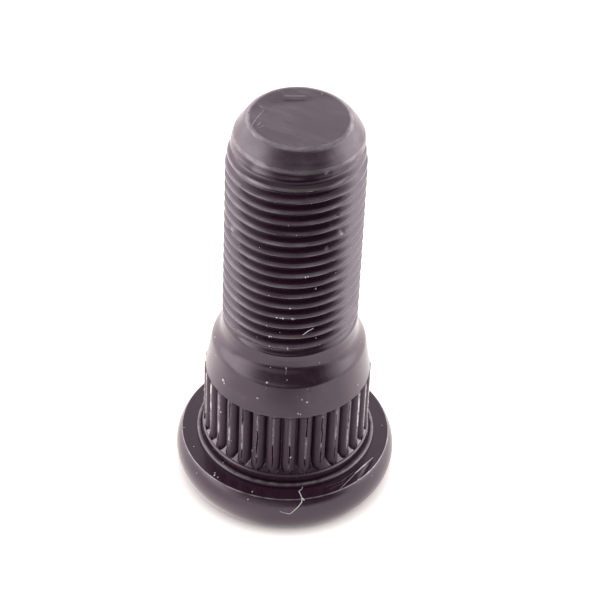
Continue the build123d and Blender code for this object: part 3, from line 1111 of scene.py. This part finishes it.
def floor_material():
    """White paper that shows as clean white, with the stud's shadow on it, a painted shadow where its glow
    is low beside the stud, and a painted reflection glow that only glossy rays see.
    """
    material, tree, shader = new_material("white_floor")
    set_inputs(tree, shader, {"Base Color": FLOOR_WHITE, "Roughness": 0.9, "Specular IOR Level": 0.0})
    rays = add(tree, "LightPath").outputs
    mirrored = result(tree, "MAXIMUM", rays["Is Glossy Ray"], rays["Is Transmission Ray"])
    place, (x, y, _) = located(tree, "Object")
    distance = add(tree, "VectorMath", {0: place}, operation="LENGTH").outputs["Value"]
    # The seen glow is low beside the stud: a painted shadow round its foot
    seen_glow_and_painted_shadow = span(tree, distance, *PAINTED_SHADOW_REACH, *SEEN_GLOW_AND_PAINTED_SHADOW)
    # A painted reflection: floor glow for glossy rays, brighter towards the back
    painted_reflection_glow = span(tree, y, *PAINTED_REFLECTION_REACH, *PAINTED_REFLECTION_GLOW)
    # A painted pool of light close to the stud's left, added to what glossy rays see
    painted_left_light_near = span(tree, distance, *PAINTED_LEFT_LIGHT_REACH, PAINTED_LEFT_LIGHT, 0.0)
    painted_left_light = times(tree, painted_left_light_near, span(tree, x, *PAINTED_LEFT_LIGHT_EDGE, 0.0, 1.0))
    painted_reflection_glow = result(tree, "ADD", painted_reflection_glow, painted_left_light)
    direct = times(tree, rays["Is Camera Ray"], seen_glow_and_painted_shadow)
    reflected = times(tree, mirrored, painted_reflection_glow)
    glow = result(tree, "ADD", direct, reflected)
    set_inputs(tree, shader, {"Emission Color": FLOOR_GLOW_COLOUR, "Emission Strength": glow})
    return material


# Stage: floor, surroundings and camera

# Floor, in metres
FLOOR_SIZE = 4.0
FLOOR_FRONT = 0.053  # how far the floor reaches in front of the stud

# White tent: its light, and where that changes, by a direction's parts to the right and upward
BACK_LIGHT = 1.8
BACK_ROOF_LIGHT = 0.5
BACK_ROOF_RISE = (0.52, 0.665)
ROOF_TOP_SHARE = 0.64  # of the back roof's light, right overhead
ROOF_TOP_RISE = (0.72, 0.88)
LEFT_LIGHT = 2.65
LEFT_SPAN = (-0.25, -0.8)
RIGHT_LIGHT = 2.8
RIGHT_SPAN = (0.25, 0.8)
SIDES_TOP_SHARE = 0.1  # of the sides' light, right overhead
SIDES_RISE = (0.55, 0.95)

# Dim opening in the tent's front, with a paler strip along the horizon
OPENING_LIGHT = 0.03
OPENING_TURN = radians(9)  # to the right of the front
OPENING_SPAN = (0.12, 0.72)  # by how squarely a direction faces the opening
OPENING_RISE = (0.45, 0.8)
STRIP_LIGHT = 0.62  # at its left, where it is brightest
STRIP_SPAN = (-0.4, 0.5)  # from left to right
STRIP_FOOT = (-0.16, -0.06)
STRIP_TOP = (0.05, 0.28)

# Camera at the photograph's place
CAMERA_PLACE = Vector((0, -204.611, 198.968)) * MM
CAMERA_AIM = Vector((1.104, 0, 25.9)) * MM
CAMERA_ROLL = radians(2.64)
CAMERA_LENS = 137.16


def make_floor():
    mesh = bpy.data.meshes.new("floor")
    half = FLOOR_SIZE / 2
    corners = [(-half, -FLOOR_FRONT, 0), (half, -FLOOR_FRONT, 0), (half, half, 0), (-half, half, 0)]
    mesh.from_pydata(corners, [], [(0, 1, 2, 3)])
    floor = bpy.data.objects.new("floor", mesh)
    bpy.context.collection.objects.link(floor)
    mesh.materials.append(floor_material())


def make_world():
    """A white tent all round, open and dim at the front, where the camera looks in."""
    world = bpy.data.worlds.new("white_tent")
    world.use_nodes = True
    bpy.context.scene.world = world
    tree = world.node_tree
    way, (x, _, z) = located(tree, "Generated")
    back = span(tree, z, *BACK_ROOF_RISE, BACK_LIGHT, BACK_ROOF_LIGHT)
    back = times(tree, back, span(tree, z, *ROOF_TOP_RISE, 1.0, ROOF_TOP_SHARE))
    left = span(tree, x, *LEFT_SPAN, 0.0, LEFT_LIGHT)
    right = span(tree, x, *RIGHT_SPAN, 0.0, RIGHT_LIGHT)
    sides_fade = span(tree, z, *SIDES_RISE, 1.0, SIDES_TOP_SHARE)
    sides = times(tree, result(tree, "ADD", left, right), sides_fade)
    walls = result(tree, "MAXIMUM", back, sides)
    ways = {0: way, 1: (sin(OPENING_TURN), -cos(OPENING_TURN), 0)}
    facing = add(tree, "VectorMath", ways, operation="DOT_PRODUCT").outputs["Value"]
    front = span(tree, facing, *OPENING_SPAN, 0.0, 1.0)
    opening = times(tree, front, span(tree, z, *OPENING_RISE, 1.0, 0.0))
    light = times(tree, walls, span(tree, opening, 0.0, 1.0, 1.0, OPENING_LIGHT))
    strip_foot = span(tree, z, *STRIP_FOOT, 0.0, 1.0)
    strip = times(tree, strip_foot, span(tree, z, *STRIP_TOP, 1.0, 0.0))
    strip = times(tree, strip, span(tree, x, *STRIP_SPAN, STRIP_LIGHT, 0.0))
    light = result(tree, "ADD", light, times(tree, opening, strip))
    seen = add(tree, "LightPath").outputs["Is Camera Ray"]
    strength = result(tree, "MAXIMUM", seen, light)
    set_inputs(tree, tree.nodes["Background"], {"Color": (1, 1, 1, 1), "Strength": strength})


def make_camera():
    """Camera at the photograph's place, with its aim and its slight roll."""
    forward = (CAMERA_AIM - CAMERA_PLACE).normalized()
    level = forward.cross(Vector((0, 0, 1))).normalized()
    above = level.cross(forward)
    right = level * cos(CAMERA_ROLL) + above * sin(CAMERA_ROLL)
    up = above * cos(CAMERA_ROLL) - level * sin(CAMERA_ROLL)
    turn = Matrix((right, up, -forward)).transposed()
    data = bpy.data.cameras.new("camera")
    data.lens = CAMERA_LENS
    data.sensor_width = 36.0
    data.clip_start = 0.01
    camera = bpy.data.objects.new("camera", data)
    camera.matrix_world = Matrix.Translation(CAMERA_PLACE) @ turn.to_4x4()
    bpy.context.collection.objects.link(camera)
    bpy.context.scene.camera = camera


def place_piece(piece, material):
    """Gives a piece its finish and lets it ride on the stud's body."""
    piece.data.materials.append(material)
    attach(piece, "root")


def main():
    bpy.context.scene.view_settings.view_transform = "Standard"
    skin = make_stud()
    stud = skin.to_object("stud_skin", sharp_angle=30)
    surface = BVHTree.FromPolygons([Vector(point) for point in skin.points], skin.faces)
    scratches = make_scratches(surface)
    steel = steel_material()
    for piece in (stud, scratches):
        place_piece(piece, steel)
    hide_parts("wheel_stud")
    dust = dust_material()
    for piece in (make_dust(surface), make_lint(surface)):
        place_piece(piece, dust)
    make_floor()
    make_world()
    make_camera()


main()
